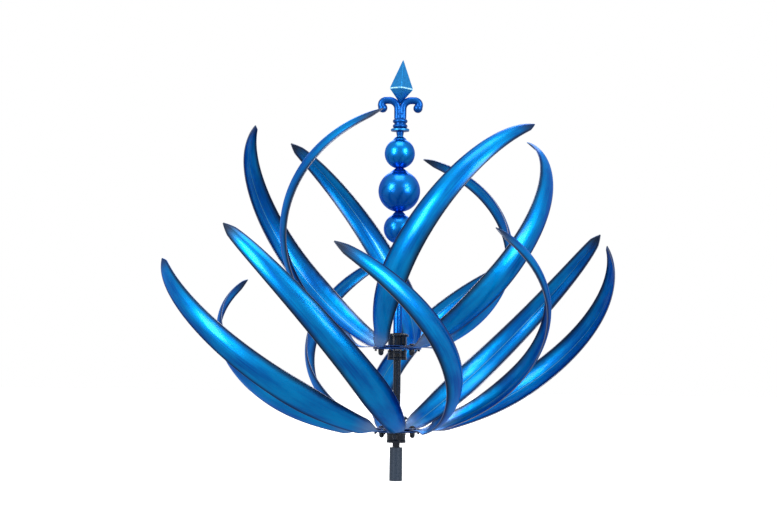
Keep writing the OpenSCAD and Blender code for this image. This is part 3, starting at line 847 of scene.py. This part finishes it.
def build_finial_collar():
    """A turned neck, flange, two round rings and a core, as one profile."""
    z = FINIAL_Z
    low = max(z - NECK_H, ball_height(*UPPER_BALL, ROD_HOLE_R, 1))
    neck = [(ROD_HOLE_R, low), (4.2, low), (4.5, z - 5.6), (4.9, z - 3.4), (5.2, z - 1.2), (6.2, z - 0.3)]
    flange = [(FLANGE_R - 0.4, z), (FLANGE_R, z + 0.4), (FLANGE_R, z + FLANGE_T - 0.4),
              (FLANGE_R - 0.4, z + FLANGE_T), (7.6, z + 3.5)]
    rings = []
    for foot in RING_FEET:
        rings += arc((RING_AT_R, z + foot + RING_R), RING_R, -72, 72, 14)
    top = z + STEM_Z - 0.6
    core = [(7.9, top - 0.3), (7.6, top), (0, top), (0, ROD_TOP + 0.5), (ROD_HOLE_R, ROD_TOP + 0.5)]
    turning = make_object("finial_turning", *lathe(neck + flange + rings + core, 96), CASTING, 40)
    finished(turning, "post", "finial_collar")


def swept(points, radii, segments=40):
    """A round tube along a path in the XZ plane, with its own radius at each point."""
    path = [np.array([x, 0.0, z]) for x, z in points]
    vertices = []
    for i, here in enumerate(path):
        ahead = path[min(i + 1, len(path) - 1)] - path[max(i - 1, 0)]
        ahead /= np.linalg.norm(ahead)
        side = np.array([ahead[2], 0, -ahead[0]])
        for k in range(segments):
            turn = 2 * math.pi * k / segments
            place = here + radii[i] * (math.cos(turn) * side + math.sin(turn) * np.array([0, 1.0, 0]))
            vertices.append(tuple(place))
    faces = []
    for i in range(len(path) - 1):
        for k in range(segments):
            nxt = (k + 1) % segments
            faces.append([i * segments + k, (i + 1) * segments + k,
                          (i + 1) * segments + nxt, i * segments + nxt])
    faces.append(list(range(segments)))
    faces.append([(len(path) - 1) * segments + k for k in reversed(range(segments))])
    return vertices, faces


def scroll_path():
    """Upright, out in a quarter turn, level, then down in a tighter curl."""
    top_x = SCROLL_X + SCROLL_R
    upright = [(SCROLL_X, z) for z in np.linspace(STEM_Z - 0.4, SCROLL_Z, 8)[:-1]]
    out = [(top_x - SCROLL_R * math.cos(t), SCROLL_Z + SCROLL_R * math.sin(t))
           for t in np.linspace(0, math.pi / 2, 22)]
    curl = [(top_x + LEVEL_L + CURL_R * math.sin(t), SCROLL_Z + SCROLL_R - CURL_R + CURL_R * math.cos(t))
            for t in np.linspace(0, math.radians(CURL_TURN), 22)]
    return upright + out + curl


def build_scrolls():
    """Two arms with a ball at each curl's end and a boss between them, welded into one casting."""
    path = scroll_path()
    swell = [ARM_R + 0.25 * math.sin(math.pi * i / (len(path) - 1)) for i in range(len(path))]
    ball_x = SCROLL_X + SCROLL_R + LEVEL_L + CURL_BALL_OUT
    ball_z = SCROLL_Z + SCROLL_R - CURL_R - CURL_BALL_DROP
    parts = []
    for side in (1, -1):
        vertices, faces = swept([(side * x, z) for x, z in path], swell)
        parts.append((vertices, faces if side > 0 else [f[::-1] for f in faces]))
        globe = arc((0, ball_z), CURL_BALL_R, -90, 90, 28)
        globe[0] = (0, ball_z - CURL_BALL_R)
        globe[-1] = (0, ball_z + CURL_BALL_R)
        parts.append(lathe(globe, 48, (side * ball_x, 0)))
    boss = STEM_Z - 0.15
    parts.append(lathe([(0, boss), (6.1, boss), (6.5, boss + 0.5), (6.5, boss + 5.2), (5.6, boss + 6.6),
                        (4.0, boss + 7), (0, boss + 7)], 56))
    merged = make_object("scroll_arms", *at_height(joined(parts), FINIAL_Z), CASTING)
    remesh = merged.modifiers.new("weld", "REMESH")
    remesh.mode = "VOXEL"
    remesh.voxel_size = 0.35 * MM
    relax = merged.modifiers.new("relax", "SMOOTH")
    relax.iterations = 6
    apply_modifiers(merged)
    merged.data.polygons.foreach_set("use_smooth", [True] * len(merged.data.polygons))
    merged.data.materials.clear()
    merged.data.materials.append(CASTING)
    finished(merged, "post", "finial_scrolls")


def build_spear():
    """A four-sided spear head, its ridges and widest level rounded like a casting."""
    vertices = []
    levels = ((SPEAR_TIP_R, 0), (SPEAR_R, SPEAR_LOW - SPEAR_BAND), (SPEAR_R, SPEAR_LOW + SPEAR_BAND),
              (SPEAR_TIP_R, SPEAR_LOW + SPEAR_HIGH))
    for radius, z in levels:
        for k in range(4):
            turn = math.pi / 2 * k
            vertices.append((radius * math.cos(turn), radius * math.sin(turn), z))
    faces = [[3, 2, 1, 0], [12, 13, 14, 15]]
    for row in (0, 4, 8):
        for k in range(4):
            nxt = (k + 1) % 4
            faces.append([row + k, row + nxt, row + 4 + nxt, row + 4 + k])
    lean = Matrix.Rotation(math.radians(SPEAR_LEAN), 3, "Y")
    placed = [tuple(lean @ Vector(v) + Vector((0, 0, FINIAL_Z + SPEAR_Z))) for v in vertices]
    head = make_object("spear_head", placed, faces, SPEAR, 20)
    # Second material: a painted highlight on the band round the widest level
    head.data.materials.append(BAND_HIGHLIGHT)
    # The band round the widest level comes after the two ends and the four lower faces
    band_from = 2 + 4
    for k in range(4):
        head.data.polygons[band_from + k].material_index = 1
    bevelled(head, 0.4, 2)
    finished(head, "post", "finial_spear")


# ---------------------------------------------------------------- carried-over CAD nodes
def carry_over():
    """Sealed bearing parts keep their CAD shape and get ground steel."""
    for tier in TIERS:
        for part in ("outer_rings", "outer_spacer", "inner_rings", "inner_spacer", "bearing_balls"):
            give(f"{tier}_{part}", STEEL)
    give("thrust_washers", STEEL)
    give("collar_set_screws", BLACK)


def give(node, material):
    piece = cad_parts[node]
    if not piece.material_slots:
        piece.data.materials.append(material)
    for slot in piece.material_slots:
        slot.material = material


# ---------------------------------------------------------------- stage, light and camera
FLOOR_HALF = 6000
FLOOR_Z = -0.2
LENS = 85.71
SENSOR_W = 36
CAMERA_PITCH = 3
CAMERA_ROLL = 0.75
CAMERA_AIM = (-0.0134, 0, 0.2966)
CAMERA_DISTANCE = 2.4975
ROOM_STRENGTH = 0.85
ROOM_BELOW = (0.72, 0.75, 0.80, 1)
ROOM_ABOVE = (0.95, 0.96, 1.0, 1)


def build_stage():
    """A wide sheet of paper under the object. Glossy surfaces don't see it."""
    corners = [(x * FLOOR_HALF, y * FLOOR_HALF, FLOOR_Z) for x, y in ((-1, -1), (1, -1), (1, 1), (-1, 1))]
    floor = make_object("floor_sheet", corners, [[0, 1, 2, 3]], floor_paper())
    floor.visible_glossy = False


def softbox(name, azimuth, elevation, distance, width, height, power, aim=(0, 0, 0.3)):
    """A rectangular light around the object; azimuth 0 is the front."""
    turn, rise = math.radians(azimuth), math.radians(elevation)
    out = Vector((math.sin(turn) * math.cos(rise), -math.cos(turn) * math.cos(rise), math.sin(rise)))
    place = out * distance + Vector(aim)
    light = bpy.data.lights.new(name, "AREA")
    light.shape = "RECTANGLE"
    light.size = width
    light.size_y = height
    light.energy = power
    lamp = bpy.data.objects.new(name, light)
    lamp.matrix_world = (Vector(aim) - place).to_track_quat("-Z", "Y").to_matrix().to_4x4()
    lamp.matrix_world.translation = place
    bpy.context.scene.collection.objects.link(lamp)


def build_world():
    """White to the camera. To all that it lights it is a pale grey, whiter towards the top."""
    world = bpy.data.worlds.new("studio")
    world.use_nodes = True
    tree = world.node_tree
    tree.nodes.clear()
    out = tree.nodes.new("ShaderNodeOutputWorld")
    backdrop = tree.nodes.new("ShaderNodeBackground")
    backdrop.inputs["Color"].default_value = (1, 1, 1, 1)
    backdrop.inputs["Strength"].default_value = 1.0
    room = tree.nodes.new("ShaderNodeBackground")
    room.inputs["Strength"].default_value = ROOM_STRENGTH
    shade = tree.nodes.new("ShaderNodeValToRGB")
    shade.color_ramp.elements[0].position = 0.1
    shade.color_ramp.elements[0].color = ROOM_BELOW
    shade.color_ramp.elements.new(0.95).color = ROOM_ABOVE
    split = tree.nodes.new("ShaderNodeSeparateXYZ")
    place = tree.nodes.new("ShaderNodeTexCoord")
    rise = tree.nodes.new("ShaderNodeMapRange")
    rise.inputs["From Min"].default_value = -1.0
    path = tree.nodes.new("ShaderNodeLightPath")
    mix = tree.nodes.new("ShaderNodeMixShader")
    tree.links.new(place.outputs["Generated"], split.inputs[0])
    tree.links.new(split.outputs[2], rise.inputs["Value"])
    tree.links.new(rise.outputs["Result"], shade.inputs["Fac"])
    tree.links.new(shade.outputs["Color"], room.inputs["Color"])
    tree.links.new(path.outputs["Is Camera Ray"], mix.inputs["Fac"])
    tree.links.new(room.outputs[0], mix.inputs[1])
    tree.links.new(backdrop.outputs[0], mix.inputs[2])
    tree.links.new(mix.outputs[0], out.inputs["Surface"])
    bpy.context.scene.world = world


def build_camera():
    """A long lens a little below the middle, pitched up and rolled slightly."""
    pitch, roll = math.radians(CAMERA_PITCH), math.radians(CAMERA_ROLL)
    forward = Vector((0, math.cos(pitch), math.sin(pitch)))
    level = Vector((1, 0, 0))
    upright = level.cross(forward)
    right = level * math.cos(roll) + upright * math.sin(roll)
    up = upright * math.cos(roll) - level * math.sin(roll)
    data = bpy.data.cameras.new("camera")
    data.lens = LENS
    data.sensor_width = SENSOR_W
    camera = bpy.data.objects.new("camera", data)
    camera.matrix_world = Matrix((right, up, -forward)).transposed().to_4x4()
    camera.matrix_world.translation = Vector(CAMERA_AIM) - forward * CAMERA_DISTANCE
    bpy.context.scene.collection.objects.link(camera)
    bpy.context.scene.camera = camera


build_camera()
build_world()
build_stage()
softbox("left_softbox", -44, 16, 2.2, 0.8, 1.3, 42)
softbox("right_softbox", 44, 16, 2.2, 0.8, 1.3, 42)
softbox("top_softbox", 0, 78, 2.0, 1.2, 1.2, 18)
softbox("back_softbox", 180, 35, 2.4, 1.6, 1.0, 20)
bpy.context.scene.view_settings.view_transform = "Standard"

for tier_name, tier_values in TIERS.items():
    build_hub(tier_name)
    build_shaft_collar(tier_name)
    for blade_index in range(tier_values["count"]):
        build_blade(tier_name, blade_index)
build_post()
build_sleeve("retaining_sleeve", "axle_retaining_ring", TIERS["lower"]["hub_z"])
build_sleeve("seat_sleeve", "stem_seat_sleeve", TIERS["upper"]["hub_z"])
build_stem()
build_ball("lower_globe", "lower_ball", LOWER_BALL)
build_ball("large_globe", "large_ball", LARGE_BALL)
build_ball("upper_globe", "upper_ball", UPPER_BALL)
build_ball_cap("lower", LOWER_BALL, BALL_CAP_R, LOWER_CAP_TOP, LARGE_BALL, crown=1.2)
build_ball_cap("large", LARGE_BALL, LARGE_CAP_R, LARGE_CAP_TOP, UPPER_BALL, crown=1.2)
build_ball_cap("upper", UPPER_BALL, BALL_CAP_R, UPPER_CAP_TOP, None, crown=1.5)
build_finial_collar()
build_scrolls()
build_spear()
carry_over()
